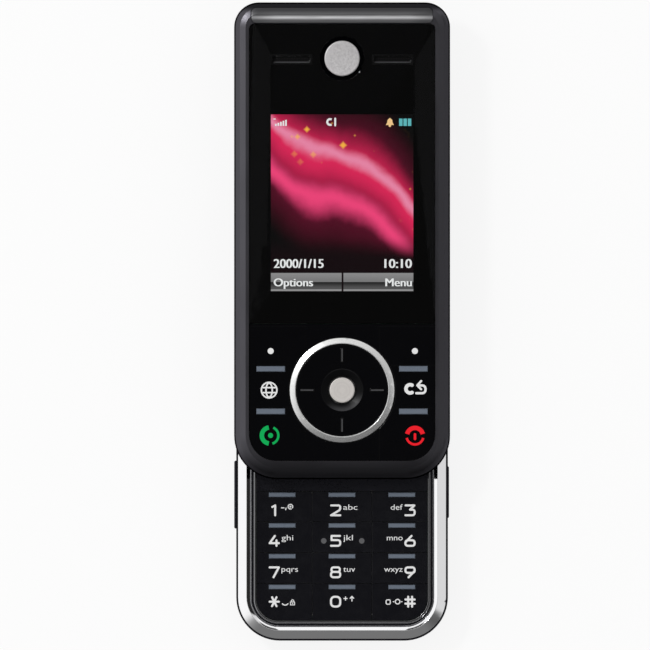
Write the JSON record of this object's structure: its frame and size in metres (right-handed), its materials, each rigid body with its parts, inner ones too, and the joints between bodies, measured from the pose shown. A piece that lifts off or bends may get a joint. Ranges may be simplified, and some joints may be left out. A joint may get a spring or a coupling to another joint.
{
  "type": "slider phone",
  "caption": "Pocket phone in two halves: a display and navigation slider that rides on rails over a chrome-edged number keypad, shown slid open.",
  "frame": {"origin": "middle of the open phone in plan, on the plane of its back", "axes": "+X to the right of the keypad as it is read, +Y towards the earpiece, +Z out of the screen"},
  "size_m": [0.047, 0.139, 0.0161],
  "materials": {
    "black_plastic": "fine satin black",
    "soft_black": "soft-touch black",
    "satin_charcoal": "satin charcoal paint",
    "chrome": "polished",
    "satin_silver": "fine brushed",
    "trim_grey": "brushed dark grey",
    "key_film": "glossy black",
    "gloss_black": "piano black",
    "lens": "clear",
    "mask_print": "black print",
    "lcd": "display glass",
    "board": "solder resist",
    "domes": "stainless",
    "mat": "silicone",
    "steel": "cold rolled",
    "spring_steel": "drawn wire",
    "guide": "acetal",
    "flex": "polyimide",
    "battery": "film wrapped",
    "camera": "black",
    "camera_glass": "coated",
    "speaker": "black",
    "motor": "nickel plated",
    "switch": "black",
    "screw": "blackened",
    "mesh": "woven, black"
  },
  "bodies": {
    "base": {"rear_housing": "soft_black", "front_housing": "black_plastic", "chrome_bezel": "chrome", "keypad_trim": "chrome", "main_board": "board", "keypad_domes": "domes", "keypad_mat": "mat", "shield_can": "steel", "battery": "battery", "sim_holder": "steel", "camera_module": "camera", "camera_window": "camera_glass", "loudspeaker": "speaker", "vibration_motor": "motor", "microphone": "steel", "side_switches": "switch", "housing_screws": "screw", "slide_carriage": "steel", "slide_guides": "guide", "slide_springs": "spring_steel", "flex_cable": "flex"},
    "slider": {"rail_plate": "steel", "slider_bezel": "satin_charcoal", "slider_rear_cover": "black_plastic", "slider_screws": "screw", "slider_board": "board", "slider_domes": "domes", "top_trim": "trim_grey", "display_lens": "lens", "display_mask": "mask_print", "lcd_panel": "lcd", "earpiece_speaker": "speaker", "earpiece_mesh": "mesh", "badge_disc": "satin_silver", "nav_panel": "gloss_black", "nav_ring": "satin_silver"},
    "volume_rocker": {"volume_rocker": "black_plastic"},
    "camera_key": {"camera_key": "black_plastic"},
    "battery_cover": {"battery_cover": "soft_black"},
    "nav_actuator": {"nav_actuator": "mat"},
    "nav_disc": {"nav_disc": "gloss_black"},
    "select_button": {"select_button": "satin_silver"},
    "key_1": {"key_1": "key_film"},
    "key_2": {"key_2": "key_film"},
    "key_3": {"key_3": "key_film"},
    "key_4": {"key_4": "key_film"},
    "key_5": {"key_5": "key_film"},
    "key_6": {"key_6": "key_film"},
    "key_7": {"key_7": "key_film"},
    "key_8": {"key_8": "key_film"},
    "key_9": {"key_9": "key_film"},
    "key_star": {"key_star": "key_film"},
    "key_0": {"key_0": "key_film"},
    "key_hash": {"key_hash": "key_film"},
    "soft_key_left": {"soft_key_left": "gloss_black"},
    "soft_key_right": {"soft_key_right": "gloss_black"},
    "web_key": {"web_key": "gloss_black"},
    "clear_key": {"clear_key": "gloss_black"},
    "send_key": {"send_key": "gloss_black"},
    "end_key": {"end_key": "gloss_black"}
  },
  "joints": [
    {"name": "slide_open", "type": "slide", "parent": "base", "child": "slider", "axis": [0, -1, 0], "range_m": [0, 0.0352], "deforming": ["slide_springs", "flex_cable"]},
    {"name": "key_1_press", "type": "slide", "parent": "base", "child": "key_1", "axis": [0, 0, -1], "range_m": [0, 0.00025], "stiffness_N_per_m": 600},
    {"name": "key_2_press", "type": "slide", "parent": "base", "child": "key_2", "axis": [0, 0, -1], "range_m": [0, 0.00025], "stiffness_N_per_m": 600},
    {"name": "key_3_press", "type": "slide", "parent": "base", "child": "key_3", "axis": [0, 0, -1], "range_m": [0, 0.00025], "stiffness_N_per_m": 600},
    {"name": "key_4_press", "type": "slide", "parent": "base", "child": "key_4", "axis": [0, 0, -1], "range_m": [0, 0.00025], "stiffness_N_per_m": 600},
    {"name": "key_5_press", "type": "slide", "parent": "base", "child": "key_5", "axis": [0, 0, -1], "range_m": [0, 0.00025], "stiffness_N_per_m": 600},
    {"name": "key_6_press", "type": "slide", "parent": "base", "child": "key_6", "axis": [0, 0, -1], "range_m": [0, 0.00025], "stiffness_N_per_m": 600},
    {"name": "key_7_press", "type": "slide", "parent": "base", "child": "key_7", "axis": [0, 0, -1], "range_m": [0, 0.00025], "stiffness_N_per_m": 600},
    {"name": "key_8_press", "type": "slide", "parent": "base", "child": "key_8", "axis": [0, 0, -1], "range_m": [0, 0.00025], "stiffness_N_per_m": 600},
    {"name": "key_9_press", "type": "slide", "parent": "base", "child": "key_9", "axis": [0, 0, -1], "range_m": [0, 0.00025], "stiffness_N_per_m": 600},
    {"name": "key_star_press", "type": "slide", "parent": "base", "child": "key_star", "axis": [0, 0, -1], "range_m": [0, 0.00025], "stiffness_N_per_m": 600},
    {"name": "key_0_press", "type": "slide", "parent": "base", "child": "key_0", "axis": [0, 0, -1], "range_m": [0, 0.00025], "stiffness_N_per_m": 600},
    {"name": "key_hash_press", "type": "slide", "parent": "base", "child": "key_hash", "axis": [0, 0, -1], "range_m": [0, 0.00025], "stiffness_N_per_m": 600},
    {"name": "soft_key_left_press", "type": "slide", "parent": "slider", "child": "soft_key_left", "axis": [0, 0, -1], "range_m": [0, 0.00025], "stiffness_N_per_m": 600},
    {"name": "soft_key_right_press", "type": "slide", "parent": "slider", "child": "soft_key_right", "axis": [0, 0, -1], "range_m": [0, 0.00025], "stiffness_N_per_m": 600},
    {"name": "web_key_press", "type": "slide", "parent": "slider", "child": "web_key", "axis": [0, 0, -1], "range_m": [0, 0.00025], "stiffness_N_per_m": 600},
    {"name": "clear_key_press", "type": "slide", "parent": "slider", "child": "clear_key", "axis": [0, 0, -1], "range_m": [0, 0.00025], "stiffness_N_per_m": 600},
    {"name": "send_key_press", "type": "slide", "parent": "slider", "child": "send_key", "axis": [0, 0, -1], "range_m": [0, 0.00025], "stiffness_N_per_m": 600},
    {"name": "end_key_press", "type": "slide", "parent": "slider", "child": "end_key", "axis": [0, 0, -1], "range_m": [0, 0.00025], "stiffness_N_per_m": 600},
    {"name": "select_button_press", "type": "slide", "parent": "slider", "child": "select_button", "axis": [0, 0, -1], "range_m": [0, 0.00025], "stiffness_N_per_m": 600},
    {"name": "nav_tilt_updown", "type": "hinge", "parent": "slider", "child": "nav_actuator", "pos_m": [0, -0.0149, 0.0145], "axis": [1, 0, 0], "range_deg": [-1.7, 1.7], "stiffness_Nm_per_rad": 0.05},
    {"name": "nav_tilt_sideways", "type": "hinge", "parent": "nav_actuator", "child": "nav_disc", "pos_m": [0, -0.0149, 0.0145], "axis": [0, 1, 0], "range_deg": [-1.7, 1.7], "stiffness_Nm_per_rad": 0.05},
    {"name": "volume_rock", "type": "hinge", "parent": "base", "child": "volume_rocker", "pos_m": [-0.02115, -0.0377, 0.00555], "axis": [0, 0, 1], "range_deg": [-1.5, 1.5], "stiffness_Nm_per_rad": 0.05},
    {"name": "camera_key_press", "type": "slide", "parent": "base", "child": "camera_key", "axis": [-1, 0, 0], "range_m": [0, 0.0003], "stiffness_N_per_m": 600},
    {"name": "battery_cover_slide", "type": "slide", "parent": "base", "child": "battery_cover", "axis": [0, -1, 0], "range_m": [0, 0.0665]}
  ]
}
